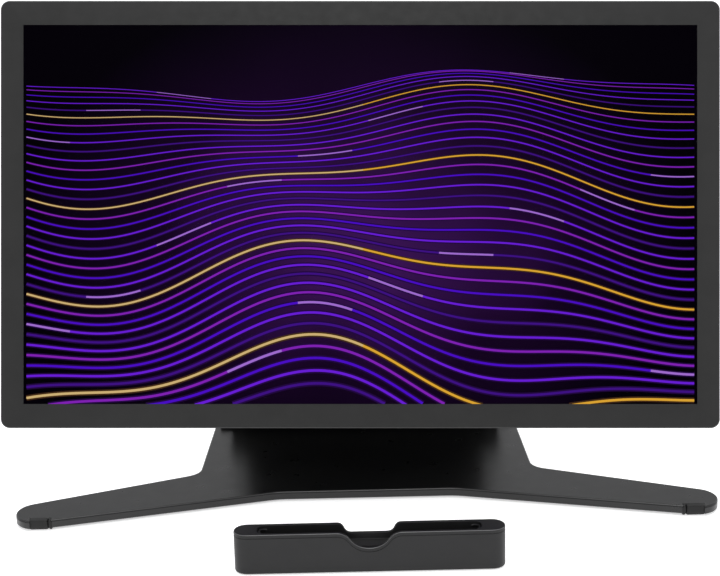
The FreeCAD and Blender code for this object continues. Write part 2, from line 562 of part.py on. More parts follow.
# connector mouths: place along the row, half width, half height
PORTS = [(-40, 4.6, 1.7), (-22, 4.6, 1.7), (2, 8, 2.7), (27, 8, 2.9), (45, 4, 4)]
ports = new_body("port_connectors", DISPLAY)
pad(ports, "XY", "-29", "-16", *[rectangle(f"port_x + {x}", "-port_y", w, t) for x, w, t in PORTS])
cut(ports, "XY", "-30", "-22",
    *[rectangle(f"port_x + {x}", "-port_y", w - 0.6, t - 0.6) for x, w, t in PORTS])
port_plate = new_body("port_plate", DISPLAY)
pad(port_plate, "XY", INNER_BACK, f"{INNER_BACK} + 1.5", rounded("port_x", "-port_y", "56", "9.5", "2"))
cut(port_plate, "XY", f"{INNER_BACK} - 1", f"{INNER_BACK} + 2",
    *[rectangle(f"port_x + {x}", "-port_y", w + 0.2, t + 0.2) for x, w, t in PORTS])


def edge_control(label, x, half, rise):
    """A cap through the top edge with a flange behind the wall."""
    body = new_body(label, DISPLAY)
    pad(body, "XZ", f"{half_height} - wall - 0.6", f"{half_height} + {rise}",
        rounded(x, "-button_depth", half, "2", "1.8"))
    pad(body, "XZ", f"{half_height} - wall - 1.6", f"{half_height} - wall - 0.4",
        rounded(x, "-button_depth", f"{half} + 1.5", "3.2", "2"))
    return body


edge_control("power_button", "power_x", "6", "0.7")
edge_control("settings_button", "settings_x", "6", "0.7")
edge_control("touch_switch", "touch_x - 2.5", "3", "0.8")

mount = slab("mount_plate", DISPLAY, f"{BACK} - plate_thick", BACK, "plate_half", "plate_half", "12")
cut(mount, "XY", f"{BACK} - plate_thick - 1", f"{BACK} + 1", *[circle(x, y, 2.1) for x, y in vesa_holes])
screws("mount_screws", DISPLAY, vesa_holes, f"{BACK} - plate_thick - 2", f"{BACK} - plate_thick", 3.8,
       "-20", 2)
shaft = new_body("rotation_shaft", DISPLAY)
pad(shaft, "XY", "-36", f"{BACK} - plate_thick", circle(0, 0, "flange_radius"))
pad(shaft, "XY", "-44.5", "-35.5", circle(0, 0, "shaft_radius"))
ring = new_body("retaining_ring", DISPLAY)
pad(ring, "XY", "-43.8", "-42.3", circle(0, 0, "ring_radius"), circle(0, 0, "shaft_radius"))

# ---------------------------------------------------------------------------- pen tray
TRAY = place("tray_x", "tray_y", "0")
half_deep = "tray_deep / 2"
tray = slab("tray_shell", TRAY, "tray_pad", "tray_tall", "tray_half", half_deep, f"{half_deep} - 0.01")
cut(tray, "XY", "trough_floor", "tray_tall + 1", rounded("0", "0", "trough_half", "trough_wide / 2", "6"))
cut(tray, "XY", "tray_pad - 1", "trough_floor - 2.5",
    rounded("0", "0", "tray_half - tray_wall", f"{half_deep} - tray_wall", "8"))


def scoop(side, top_half, floor_half, drop, share):
    """A smooth dip in one long wall: two S-curves either side of a flat, the lower arc taking the share."""
    low, high = f"tray_tall - {drop}", "tray_tall + 1"
    both = f"(({top_half} - {floor_half}) ^ 2 + ({drop}) ^ 2) / (2 * ({drop}))"
    lower, upper = f"{share} * {both}", f"(1 - {share}) * {both}"
    knee = f"({floor_half} + {share} * ({top_half} - {floor_half}))"
    knee_z = f"tray_tall - (1 - {share}) * ({drop})"
    outline = [(negative(floor_half), low), (floor_half, low, lower), (knee, knee_z, negative(upper)),
               (top_half, "tray_tall"), (top_half, high), (negative(top_half), high),
               (negative(top_half), "tray_tall", negative(upper)), (negative(knee), knee_z, lower)]
    walls = ("-tray_deep", "-2") if side < 0 else ("2", "tray_deep")
    cut(tray, "XZ", *walls, outline)


scoop(-1, "27.4", "0.5", "front_scoop", 0.62)
scoop(1, "27", "15.4", "rear_scoop", 0.5)
slab("tray_liner", TRAY, "trough_floor", "trough_floor + 1.4", "trough_half - 0.2",
     "trough_wide / 2 - 0.2", "5.8")
slab("tray_base_cover", TRAY, "tray_pad", "tray_pad + tray_cover_thick", "tray_half - tray_wall - 0.2",
     f"{half_deep} - tray_wall - 0.2", "7.8")
tray_pads = new_body("tray_pads", TRAY)
pad(tray_pads, "XY", "0", "tray_pad", *[rounded(x, 0, 18, 7, 5) for x in (-85, 85)])
nibs = new_body("spare_nibs", TRAY)
pad(nibs, "XY", "tray_pad + tray_cover_thick", "tray_pad + 12",
    *[circle(x, 0, 1.1) for x in range(-30, 31, 10)])


# ---------------------------------------------------------------------------- checks and export
doc.recompute()
for item in doc.Objects:
    if any(word in ("Invalid", "Error") for word in item.State):
        raise RuntimeError(f"{item.Label} is {item.State}")
whole = FreeCAD.BoundBox()
for body in nodes:
    if body.Shape.isNull() or not body.Shape.isValid():
        raise RuntimeError(f"{body.Label} has no sound shape")
    whole.add(body.Shape.BoundBox)
os.makedirs("parts", exist_ok=True)
for body in nodes:
    body.Shape.exportStep(f"parts/{body.Label}.step")
print(f"{len(nodes)} nodes, {sum(len(body.Shape.Solids) for body in nodes)} solids, box {whole}")
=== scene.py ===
import json
import math

import bmesh
import bpy
from mathutils import Matrix, Vector

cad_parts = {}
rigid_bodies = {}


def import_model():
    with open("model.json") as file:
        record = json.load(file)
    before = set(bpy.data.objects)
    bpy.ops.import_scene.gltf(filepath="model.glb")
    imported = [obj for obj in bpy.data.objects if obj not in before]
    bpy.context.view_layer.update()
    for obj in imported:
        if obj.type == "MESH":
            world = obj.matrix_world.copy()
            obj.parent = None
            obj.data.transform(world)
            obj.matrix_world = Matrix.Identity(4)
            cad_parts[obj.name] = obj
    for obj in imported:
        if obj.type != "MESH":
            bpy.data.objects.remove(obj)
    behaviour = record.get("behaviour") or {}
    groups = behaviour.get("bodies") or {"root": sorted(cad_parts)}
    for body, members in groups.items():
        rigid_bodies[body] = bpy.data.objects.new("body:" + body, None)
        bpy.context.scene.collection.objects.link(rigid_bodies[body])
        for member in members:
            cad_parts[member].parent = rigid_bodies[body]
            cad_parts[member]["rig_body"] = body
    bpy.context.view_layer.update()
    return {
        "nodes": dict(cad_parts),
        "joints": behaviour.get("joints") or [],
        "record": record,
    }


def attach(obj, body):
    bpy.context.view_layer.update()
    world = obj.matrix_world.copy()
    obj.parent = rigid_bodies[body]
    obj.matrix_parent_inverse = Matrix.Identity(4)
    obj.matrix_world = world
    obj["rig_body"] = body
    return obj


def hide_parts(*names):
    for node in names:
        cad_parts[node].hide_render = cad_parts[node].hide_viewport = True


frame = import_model()
MM = 0.001
scene = bpy.context.scene


# ------------------------------------------------------------ local frames, from the joints
joints = {joint["name"]: joint for joint in frame["joints"]}
slots = {row["node"]: row["material_slot"] for row in frame["record"]["subparts"]}


def direction(name):
    return Vector(joints[name]["axis"]).normalized()


def pivot(name):
    return Vector(joints[name]["pos_m"])


def basis(origin, x_axis, z_axis):
    """The matrix of a frame with that origin, x and z; y follows."""
    y_axis = z_axis.cross(x_axis)
    matrix = Matrix((x_axis, y_axis, z_axis)).transposed().to_4x4()
    matrix.translation = origin
    return matrix


# z out of the glass, y up it
DISPLAY = basis(pivot("display_rotate"), direction("touch_slide"), direction("display_rotate"))
DESK = Matrix.Identity(4)
RIGHT = Vector((1, 0, 0))
ALONG = (pivot("display_tilt") - pivot("arm_lift")).normalized()
ARM = basis(pivot("arm_lift"), RIGHT, RIGHT.cross(ALONG))       # y up the arm, z out of its front


def span(node, matrix=DESK):
    """A CAD node's lowest and highest corners in a local frame, in millimetres."""
    back = matrix.inverted()
    points = [back @ vertex.co for vertex in frame["nodes"][node].data.vertices]
    low = Vector([min(p[i] for p in points) for i in range(3)])
    high = Vector([max(p[i] for p in points) for i in range(3)])
    return low / MM, high / MM


# ------------------------------------------------------------ materials
NOISE_SPAN = (0.3, 0.7)                     # where most of a noise texture's values lie


class Finish:
    """A Principled material that is built up from noise at real sizes, given in millimetres."""

    def __init__(self, name, colour, roughness, **sockets):
        self.material = bpy.data.materials.new(name)
        self.material.use_nodes = True
        self.tree = self.material.node_tree
        self.shader = self.tree.nodes["Principled BSDF"]
        self.place = self.tree.nodes.new("ShaderNodeTexCoord").outputs["Object"]
        self.colour = colour
        self.shader.inputs["Base Color"].default_value = (*colour, 1)
        self.shader.inputs["Roughness"].default_value = roughness
        for socket, value in sockets.items():
            self.shader.inputs[socket.replace("_", " ")].default_value = value

    def node(self, kind, **inputs):
        node = self.tree.nodes.new(kind)
        for key, value in inputs.items():
            if isinstance(value, bpy.types.NodeSocket):
                self.tree.links.new(value, node.inputs[key])
            else:
                node.inputs[key].default_value = value
        return node

    def noise(self, size, detail=3.0, stretch=None):
        place = self.place
        if stretch:
            mapping = self.node("ShaderNodeMapping", Vector=place)
            mapping.inputs["Scale"].default_value = stretch
            place = mapping.outputs["Vector"]
        node = self.node("ShaderNodeTexNoise", Vector=place, Scale=1 / (size * MM), Detail=detail)
        return node.outputs["Fac"]

    def band(self, value, low, high, to_low, to_high):
        node = self.node("ShaderNodeMapRange", Value=value)
        sockets = ("From Min", "From Max", "To Min", "To Max")
        for socket, number in zip(sockets, (low, high, to_low, to_high)):
            node.inputs[socket].default_value = number
        return node.outputs["Result"]

    def times(self, first, second):
        node = self.tree.nodes.new("ShaderNodeMath")
        node.operation = "MULTIPLY"
        self.tree.links.new(first, node.inputs[0])
        self.tree.links.new(second, node.inputs[1])
        return node.outputs["Value"]

    def mottle(self, size, amount, edge_glint=0.0):
        """Colour that drifts a little over patches of this size, and is paler on outer edges as a
        painted edge highlight.
        """
        share = self.band(self.noise(size), *NOISE_SPAN, 1 - amount, 1 + amount)
        # paler where the surface bulges outwards: a painted highlight along outer edges
        if edge_glint:
            bulge = self.tree.nodes.new("ShaderNodeNewGeometry").outputs["Pointiness"]
            share = self.times(share, self.band(bulge, 0.51, 0.6, 1.0, 1 + edge_glint))
        node = self.tree.nodes.new("ShaderNodeVectorMath")
        node.operation = "SCALE"
        node.inputs[0].default_value = self.colour
        self.tree.links.new(share, node.inputs["Scale"])
        self.tree.links.new(node.outputs["Vector"], self.shader.inputs["Base Color"])
        return self

    def vary_roughness(self, size, low, high):
        wander = self.band(self.noise(size), *NOISE_SPAN, low, high)
        self.tree.links.new(wander, self.shader.inputs["Roughness"])
        return self

    def grain(self, size, depth, stretch=None):
        """A raised texture; several calls stack up."""
        bump = self.node("ShaderNodeBump", Height=self.noise(size, 2.0, stretch))
        bump.inputs["Distance"].default_value = depth * MM
        bump.inputs["Strength"].default_value = 1.0
        earlier = self.shader.inputs["Normal"].links
        if earlier:
            self.tree.links.new(earlier[0].from_socket, bump.inputs["Normal"])
        self.tree.links.new(bump.outputs["Normal"], self.shader.inputs["Normal"])
        return self


def plastic(name, shade, roughness=0.5, tint=(1, 1, 1), gloss=0.5, grain=0.02):
    """Spark-textured mouldings: a fine grain, with roughness that wanders from handling."""
    finish = Finish(name, [shade * part for part in tint], roughness, Specular_IOR_Level=gloss)
    # the paler outer edges from mottle are a painted highlight
    finish.mottle(26, 0.08, edge_glint=0.5)
    finish.vary_roughness(9, roughness - 0.04, roughness + 0.05)
    return finish.grain(0.55, grain).grain(4.0, grain).material


def metal(name, shade, roughness, metallic=1.0, tint=(1, 1, 1), size=0.8, depth=0.01, stretch=None):
    finish = Finish(name, [shade * part for part in tint], roughness, Metallic=metallic)
    # the paler outer edges from mottle are a painted highlight
    finish.mottle(18, 0.07, edge_glint=0.25)
    finish.vary_roughness(6, roughness - 0.05, roughness + 0.07)
    return finish.grain(size, depth, stretch).material


def powder_coat():
    """Satin powder coat: nearly black pigment under a smooth skin with a faint orange peel."""
    finish = Finish("powder_coat", (0.004, 0.004, 0.0041), 0.3, Specular_IOR_Level=0.17)
    # the paler outer edges from mottle are a painted highlight
    finish.mottle(30, 0.1, edge_glint=0.6)
    finish.vary_roughness(14, 0.27, 0.33)
    return finish.grain(0.5, 0.006).grain(2.5, 0.012).material


def lighter_coat_copy(name, shade, roughness, gloss):
    """The same skin made lighter and glossier, to paint light onto edges and side bands."""
    finish = Finish(name, (shade, shade, shade * 1.02), roughness, Specular_IOR_Level=gloss)
    # the paler outer edges from mottle are a painted highlight
    finish.mottle(30, 0.1, edge_glint=0.4)
    finish.vary_roughness(14, roughness - 0.03, roughness + 0.04)
    return finish.grain(0.5, 0.005).material


def etched_glass():
    """Anti-glare glass, almost clear; its slight sheen lies on the panel behind it."""
    finish = Finish("etched_glass", (0, 0, 0), 0.4, Alpha=0.01, Specular_IOR_Level=0.0)
    return finish.vary_roughness(60, 0.36, 0.44).material


M = {
    "base_metal": powder_coat(),
    "under_cover": plastic("under_cover", 0.006, 0.6, gloss=0.3),
    # a lighter, glossier copy of the powder coat for the plate's side bands: painted light on them
    "lit_side_band": lighter_coat_copy("lit_side_coat", 0.008, 0.3, 0.4),
    # a pale copy of the coat for the plate's rounded top edge: a painted highlight
    "painted_edge_highlight": lighter_coat_copy("painted_edge_highlight", 0.1, 0.25, 0.8),
    # a pale copy for the tray's round lip: a painted highlight along it
    "lip_highlight": lighter_coat_copy("lip_highlight", 0.07, 0.32, 0.6),
    "rubber": plastic("rubber", 0.007, 0.6, gloss=0.25),
    "steel": metal("plated_steel", 0.22, 0.32),
    "bush_brass": metal("sintered_bronze", 0.45, 0.4, tint=(1, 0.78, 0.45)),
    "arm_shell": plastic("arm_plastic", 0.004, 0.5, gloss=0.2),
    "cast_metal": metal("painted_casting", 0.008, 0.42, metallic=0.3, size=0.5, depth=0.03),
    "lever_plastic": plastic("lever_plastic", 0.008, 0.42, gloss=0.35),
    "cover_glass": etched_glass(),
    "bezel_ink": plastic("bezel_ink", 0.011, 0.55, tint=(1, 1, 0.985), gloss=0.2),
    "screen": plastic("lcd_black", 0.004, 0.4),
    "optical_sheet": plastic("light_guide", 0.7, 0.2),
    "inner_metal": metal("mill_aluminium", 0.6, 0.35, stretch=(1, 14, 14)),
    "circuit_board": plastic("solder_mask", 0.05, 0.35, tint=(0.25, 1, 0.5)),
    "frame_metal": metal("dark_anodised", 0.005, 0.42, metallic=0.15),
    "housing_plastic": plastic("housing_plastic", 0.008, 0.5, gloss=0.35),
    "key_plastic": plastic("key_plastic", 0.006, 0.4, gloss=0.4),
    "fan_plastic": plastic("fan_plastic", 0.012, 0.4),
    "connector_metal": metal("connector_plate", 0.5, 0.25),
    "tray_plastic": plastic("tray_plastic", 0.005, 0.45, tint=(1, 1, 1.05), gloss=0.3),
    "nib_plastic": plastic("nib_plastic", 0.05, 0.4),
}

for node, slot in slots.items():
    piece = frame["nodes"][node]
    piece.data.materials.clear()
    piece.data.materials.append(M[slot])


# ------------------------------------------------------------ making pieces
def add_piece(name, mesh, matrix, body, slot, *materials):
    """A piece with its mesh in millimetres in a local frame."""
    mesh.transform(Matrix.Scale(MM, 4))
    mesh.validate()
    item = bpy.data.objects.new(name, mesh)
    scene.collection.objects.link(item)
    item.matrix_world = matrix
    for material in materials or (M[slot],):
        mesh.materials.append(material)
    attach(item, body)
    return item


def smooth(item, angle=35):
    """Smooth shading with flat faces left flat, and creases above the angle."""
    item.data.shade_smooth()
    item.data.set_sharp_from_angle(angle=math.radians(angle))
    weighted = item.modifiers.new("flat_faces", "WEIGHTED_NORMAL")
    weighted.keep_sharp = True
    return item


def stands_for(item, *nodes):
    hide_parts(*nodes)
    return item


def merged(node):
    """A CAD node's mesh as a bmesh, with its corners joined and its flat facets merged."""
    work = bmesh.new()
    work.from_mesh(frame["nodes"][node].data)
    bmesh.ops.remove_doubles(work, verts=work.verts, dist=0.002 * MM)
    bmesh.ops.dissolve_limit(work, angle_limit=math.radians(0.4), verts=work.verts, edges=work.edges)
    return work


def rounded_copy(node, radius, clamped=False):
    """The CAD node again, with a small radius on each edge that the real moulding or casting has."""
    work = merged(node)
    mesh = bpy.data.meshes.new(node + "_shape")
    work.to_mesh(mesh)
    work.free()
    for name in [entry.name for entry in mesh.attributes if entry.name == "custom_normal"]:
        mesh.attributes.remove(mesh.attributes[name])
    mesh.shade_smooth()
    item = bpy.data.objects.new(node + "_finished", mesh)
    scene.collection.objects.link(item)
    mesh.materials.clear()
    mesh.materials.append(M[slots[node]])
    bevel = item.modifiers.new("edge_radius", "BEVEL")
    bevel.width = radius * MM
    bevel.segments = 3
    bevel.limit_method = "ANGLE"
    bevel.angle_limit = math.radians(32)
    bevel.use_clamp_overlap = clamped
    bevel.harden_normals = True
    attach(item, frame["nodes"][node]["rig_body"])
    return stands_for(item, node)


def loft(rings, looped=False):
    """A closed skin over rings of equal counts, with flat ends or with the last joined to the first."""
    mesh = bpy.data.meshes.new("loft")
    count = len(rings[0])
    points = [point for ring in rings for point in ring]
    faces = []
    for ring in range(len(rings) if looped else len(rings) - 1):
        low, high = ring * count, (ring + 1) % len(rings) * count
        for index in range(count):
            after = (index + 1) % count
            faces.append((low + index, low + after, high + after, high + index))
    if not looped:
        faces.append(tuple(reversed(range(count))))
        faces.append(tuple(range((len(rings) - 1) * count, len(rings) * count)))
    mesh.from_pydata(points, [], faces)
    work = bmesh.new()
    work.from_mesh(mesh)
    bmesh.ops.recalc_face_normals(work, faces=work.faces)
    work.to_mesh(mesh)
    work.free()
    return mesh


def joined(meshes):
    """Several meshes as one."""
    work = bmesh.new()
    for mesh in meshes:
        work.from_mesh(mesh)
        bpy.data.meshes.remove(mesh)
    whole = bpy.data.meshes.new("joined")
    work.to_mesh(whole)
    work.free()
    return whole


def islands(node, matrix):
    """The boxes of a node's separate solids, in a local frame in millimetres, ordered by x, then y."""
    work = merged(node)
    work.transform(matrix.inverted())
    waiting = set(work.verts)
    boxes = []
    while waiting:
        edge = [waiting.pop()]
        found = []
        while edge:
            vertex = edge.pop()
            found.append(vertex.co / MM)
            near = {link.other_vert(vertex) for link in vertex.link_edges} & waiting
            waiting -= near
            edge.extend(near)
        boxes.append((Vector(map(min, *found)), Vector(map(max, *found))))
    work.free()
    return sorted(boxes, key=lambda box: (round(box[0].x), round(box[0].y)))


def outline_of(node, level):
    """The outer edge of a node's flat face at a height, as points in order, in millimetres."""
    work = merged(node)
    at_level = [v for v in work.verts if abs(v.co.z / MM - level) < 0.02]
    rim = {edge for vertex in at_level for edge in vertex.link_edges
           if all(abs(v.co.z / MM - level) < 0.02 for v in edge.verts)
           and sum(abs(face.normal.z) > 0.99 for face in edge.link_faces) == 1}
    loops = []
    while rim:
        edge = rim.pop()
        start, here = edge.verts
        loop = [start, here]
        while here != start:
            edge = next(link for link in here.link_edges if link in rim)
            rim.remove(edge)
            here = edge.other_vert(here)
            loop.append(here)
        loops.append([Vector((v.co.x, v.co.y)) / MM for v in loop[:-1]])
    work.free()
    outer = max(loops, key=lambda points: max(p.x for p in points) - min(p.x for p in points))
    area = sum(a.x * b.y - b.x * a.y for a, b in zip(outer, outer[1:] + outer[:1]))
    return outer if area > 0 else outer[::-1]


def offset(points, distance):
    """An anticlockwise outline moved outwards, with mitred corners."""
    moved = []
    for before, here, after in zip(points[-1:] + points[:-1], points, points[1:] + points[:1]):
        arrive, leave = (here - before).normalized(), (after - here).normalized()
        bisector = Vector((arrive.y + leave.y, -arrive.x - leave.x)).normalized()
        stretch = max(bisector.dot(Vector((arrive.y, -arrive.x))), 0.5)
        moved.append(here + bisector * distance / stretch)
    return moved


def at(points, level):
    return [Vector((p[0], p[1], level)) for p in points]


def round_box(half_x, half_y, radius, steps=8, centre=(0, 0)):
    """An anticlockwise rectangle with round corners."""
    points = []
    for turn, (sign_x, sign_y) in enumerate(((1, -1), (1, 1), (-1, 1), (-1, -1))):
        for step in range(steps + 1):
            angle = math.radians(90 * (turn - 1) + 90 * step / steps)
            points.append(Vector((centre[0] + sign_x * (half_x - radius) + radius * math.cos(angle),
                                  centre[1] + sign_y * (half_y - radius) + radius * math.sin(angle))))
    return points


# ------------------------------------------------------------ the picture on the screen
def from_display_value(*channels):
    """A colour given as screen values out of 255, as linear light."""
    return [((c / 255 + 0.055) / 1.055) ** 2.4 if c > 10 else c / 255 / 12.92 for c in channels]


def glow(name, colour):
    finish = Finish(name, (0, 0, 0), 1.0, Specular_IOR_Level=0.0)
    finish.shader.inputs["Emission Color"].default_value = (*from_display_value(*colour), 1)
    finish.shader.inputs["Emission Strength"].default_value = 1.0
    finish.material.cycles.emission_sampling = "NONE"
    return finish.material


PALETTE = {
    "deep": (62, 18, 130), "indigo": (74, 14, 196), "violet": (104, 30, 214), "magenta": (128, 34, 180),
    "lilac": (160, 108, 208), "sand": (206, 176, 118), "gold": (220, 164, 52),
    "haze": (34, 10, 62), "umber": (66, 42, 24),
}
PANEL_MATERIALS = 2                         # its black rim and its glowing ground
INKS = {name: index + PANEL_MATERIALS for index, name in enumerate(PALETTE)}
LCD_LOW, LCD_HIGH = span("lcd_panel", DISPLAY)
PANEL = (LCD_HIGH.x, LCD_HIGH.y)
LCD_EDGE = 3.0                              # how far the panel reaches past what is lit
LIT = (2 * (PANEL[0] - LCD_EDGE), 2 * (PANEL[1] - LCD_EDGE))
GLASS_CORNER = 6.8
PICTURE_DEPTH = 0.15                        # the picture lies this far below the panel's rim
HALO_LIFT, LINE_LIFT = 0.006, 0.01          # above the panel's floor
LAYERS = 12                                 # neighbouring lines lie at different levels
LAYER_GAP = 0.011


WAVES = 40                                  # lines in the picture
WAVE_POINTS = 130
GOLD_EVERY = 10
FINE_LINE, LINE_GROWTH = 0.5, 1.9           # width of the top line, and how much wider the lowest is
HALO_SHARE = 2.2                            # a line's halo against the line


def wave(line):
    """One line of a plain field of sine waves, which opens out towards the foot of the screen."""
    share = line / (WAVES - 1)
    points = []
    for step in range(WAVE_POINTS):
        across = 1.04 * (step / (WAVE_POINTS - 1) - 0.5)
        swell = math.sin(2 * math.pi * (1.1 * across + 0.4 * share))
        ripple = math.sin(2 * math.pi * (2.3 * across - 0.7 * share))
        height = 0.34 - 0.9 * share ** 1.35 + (0.035 + 0.06 * share) * (swell + 0.4 * ripple)
        points.append(Vector((across * LIT[0], height * LIT[1])))
    return points


def ribbon(mesh, points, width, level, ink):
    """A thin flat strip along points, coloured by ink(share of its length)."""
    last = len(points) - 1
    previous = None
    for index, point in enumerate(points):
        before, after = points[max(index - 1, 0)], points[min(index + 1, last)]
        heading = (after - before).normalized()
        side = Vector((-heading.y, heading.x)) * width / 2
        if abs(point.x) > PANEL[0] - 0.5 * LCD_EDGE or abs(point.y) > PANEL[1] - 0.5 * LCD_EDGE:
            previous = None
            continue
        pair = [mesh.verts.new((*(point + side), level)), mesh.verts.new((*(point - side), level))]
        if previous:
            face = mesh.faces.new((previous[1], pair[1], pair[0], previous[0]))
            face.material_index = INKS[ink((index - 0.5) / last)]
        previous = pair


def is_gold(line):
    return line % GOLD_EVERY == GOLD_EVERY // 2


def wave_ink(line, share):
    """Violets in turn with a gold line at even steps, and paler stretches at even places."""
    if is_gold(line):
        return "gold" if share > 0.5 else "sand"
    if line % 4 == 0 and abs(math.sin(2 * math.pi * (share + line / WAVES))) > 0.97:
        return "lilac"
    return ("violet", "magenta", "indigo", "violet", "deep")[line % 5]


def wave_halo(line):
    return "umber" if is_gold(line) else "haze"


def screen_picture():
    """The panel with its rim, and a plain pattern of glowing lines lying on its lit face."""
    top, floor = LCD_HIGH.z, LCD_HIGH.z - PICTURE_DEPTH
    rows = [(0, LCD_LOW.z), (0, top), (0.6 * LCD_EDGE, top), (0.6 * LCD_EDGE, floor)]
    rings = [at(round_box(PANEL[0] - inset, PANEL[1] - inset, 1, 2), level) for inset, level in rows]
    base = loft(rings)
    work = bmesh.new()
    work.from_mesh(base)
    bpy.data.meshes.remove(base)
    for face in work.faces:
        face.material_index = 1 if all(abs(v.co.z - floor) < 1e-4 for v in face.verts) else 0
    lowest = floor + LINE_LIFT
    for line in range(WAVES):
        curve = wave(line)
        thick = FINE_LINE + LINE_GROWTH * line / WAVES
        level = lowest + LAYER_GAP * (line % LAYERS)
        ribbon(work, curve, HALO_SHARE * thick, floor + HALO_LIFT, lambda share: wave_halo(line))
        ribbon(work, curve, thick, level, lambda share: wave_ink(line, share))
    mesh = bpy.data.meshes.new("screen_picture")
    work.to_mesh(mesh)
    work.free()
    lights = [glow("light_" + name, colour) for name, colour in PALETTE.items()]
    item = add_piece("screen_picture", mesh, DISPLAY, "display", "screen", M["screen"], field_glow(),
                     *lights)
    return stands_for(item, "lcd_panel")


def field_glow():
    """The dark violet ground of the picture, brightest a little below the middle."""
    finish = Finish("screen_ground", (0, 0, 0), 0.4, Specular_IOR_Level=0.006)
    mapping = finish.node("ShaderNodeMapping", Vector=finish.place)
    mapping.inputs["Location"].default_value = (0.005, 0.03, 0)
    mapping.inputs["Scale"].default_value = (1.0, 1.35, 1.0)
    distance = finish.tree.nodes.new("ShaderNodeVectorMath")
    distance.operation = "LENGTH"
    finish.tree.links.new(mapping.outputs["Vector"], distance.inputs[0])
    share = finish.band(distance.outputs["Value"], 0.03, 0.3, 1.0, 0.0)
    wander = finish.band(finish.noise(120, 1.0), *NOISE_SPAN, 0.8, 1.15)
    ramp = finish.node("ShaderNodeValToRGB", Fac=finish.times(share, wander))
    stops = ((0.0, (2, 0, 5)), (0.45, (19, 3, 30)), (1.0, (54, 18, 78)))
    ramp.color_ramp.elements.new(0.45)
    for element, (position, colour) in zip(ramp.color_ramp.elements, stops):
        element.position = position
        element.color = (*from_display_value(*colour), 1)
    finish.tree.links.new(ramp.outputs["Color"], finish.shader.inputs["Emission Color"])
    finish.shader.inputs["Emission Strength"].default_value = 1.0
    finish.material.cycles.emission_sampling = "NONE"
    return finish.material


def cover_glass():
    """One sheet of glass: clear over the picture, and grey where its border is printed on the back."""
    low, high = span("front_glass", DISPLAY)
    half, edge = Vector((high.x, high.y)), 0.2
    lit = (LIT[0] / 2, LIT[1] / 2)
    rows = [(0, low.z), (0, high.z - edge), (0.3 * edge, high.z - 0.3 * edge), (edge, high.z)]
    rings = [at(round_box(half.x - inset, half.y - inset, GLASS_CORNER - inset), level)
             for inset, level in rows]
    rings.append(at(round_box(*lit, 0.2), high.z))
    rings.insert(0, at(round_box(*lit, 0.2), low.z))
    mesh = loft(rings)
    for face in mesh.polygons:
        face.material_index = 0 if len(face.vertices) > 4 else 1
    item = add_piece("cover_glass_sheet", mesh, DISPLAY, "display", "cover_glass", M["cover_glass"],
                     M["bezel_ink"])
    return stands_for(smooth(item), "front_glass")


# ------------------------------------------------------------ base and feet
def base_casting():
    """The flat plate with a rounded top edge, a fine groove below it and a rounded under edge."""
    low, high = span("base_plate")
    top = outline_of("base_plate", high.z)
    side = max(p.y for p in outline_of("base_plate", low.z)) - max(p.y for p in top)
    groove_depth, groove_top, groove_low = 0.5, high.z - 1.3, high.z - 1.85
    rows = [(side - 0.5, low.z), (side, low.z + 0.6), (side, groove_low - 0.1),
            (side - groove_depth, groove_low), (side - groove_depth, groove_top),
            (side, groove_top + 0.1)]
    rows += [(side * math.cos(math.radians(a)), high.z - side * (1 - math.sin(math.radians(a))))
             for a in (0, 30, 60, 90)]
    mesh = loft([at(offset(top, out), level) for out, level in rows])
    # the rounded top edge gets a pale painted highlight, the side and groove bands a lighter
    # painted-light copy, the top the plain coat
    for face in mesh.polygons:
        on_round = 0.2 < face.normal.z < 0.99
        face.material_index = 2 if on_round else int(len(face.vertices) == 4)
    item = add_piece("base_casting", mesh, DESK, "base", "base_metal", M["base_metal"], M["lit_side_band"],
                     M["painted_edge_highlight"])
    return stands_for(smooth(item, 50), "base_plate")


SHOE_DEPTH = 6.7        # from the front of a shoe to its step under the plate


def rubber_feet():
    """Two rubber shoes wrapped over the front edge, each with an upright split near its inner side."""
    meshes = []
    for low, high in islands("front_feet", DESK):
        inner = -1 if low.x < 0 else 1
        near, far = (low.x, high.x) if inner > 0 else (high.x, low.x)
        split = near + inner * 3.2
        for start, end in ((near, split - inner * 0.35), (split + inner * 0.35, far)):
            meshes.append(shoe(min(start, end), max(start, end), low, high))
    item = add_piece("rubber_feet", joined(meshes), DESK, "base", "rubber")
    return stands_for(smooth(item, 50), "front_feet")


def shoe(x_low, x_high, low, high):
    """One block of a shoe: bevelled ends, a front that leans back to the ground."""
    front, back = low.y, low.y + SHOE_DEPTH
    heel = high.y
    under = span("base_bottom_cover")[0].z - 0.1
    section = [(front + 0.9, high.z), (front + 0.2, high.z - 0.5), (front, high.z - 1.4),
               (front + 0.3, 4.5), (front + 1.6, 2.0), (front + 3.6, 0.5), (front + 6.0, 0.0),
               (heel - 0.6, 0.0), (heel, 0.4), (heel, under), (back, under), (back, high.z)]
    middle = Vector([sum(axis) / len(section) for axis in zip(*section)])
    rings = []
    corner = min(2.2, (x_high - x_low) / 2.2)
    turns = [math.radians(angle) for angle in (0, 25, 50, 75, 90)]
    inward = [(corner * (1 - math.sin(turn)), 0.24 * (1 - math.cos(turn))) for turn in turns]
    ends = [(x_low + inset, shrink) for inset, shrink in sorted(inward)]
    ends += [(x_high - inset, shrink) for inset, shrink in sorted(inward, reverse=True)]
    for x, shrink in ends:
        rings.append([Vector((x, y + (middle.x - y) * shrink * 0.5, z + (middle.y - z) * shrink))
                      for y, z in section])
    return loft(rings)


# ------------------------------------------------------------ pen tray
def lip_heights(node, side):
    """Points (x, z) along the top of the tray's front (-1) or back (1) wall, read from the CAD node."""
    low, high = span(node)
    wall = low.y if side < 0 else high.y
    points = {}
    for vertex in frame["nodes"][node].data.vertices:
        x, y, z = vertex.co / MM
        if abs(y - wall) < 0.02 and z > low.z + 5:
            points[round(x, 2)] = max(z, points.get(round(x, 2), 0))
    return sorted(points.items())


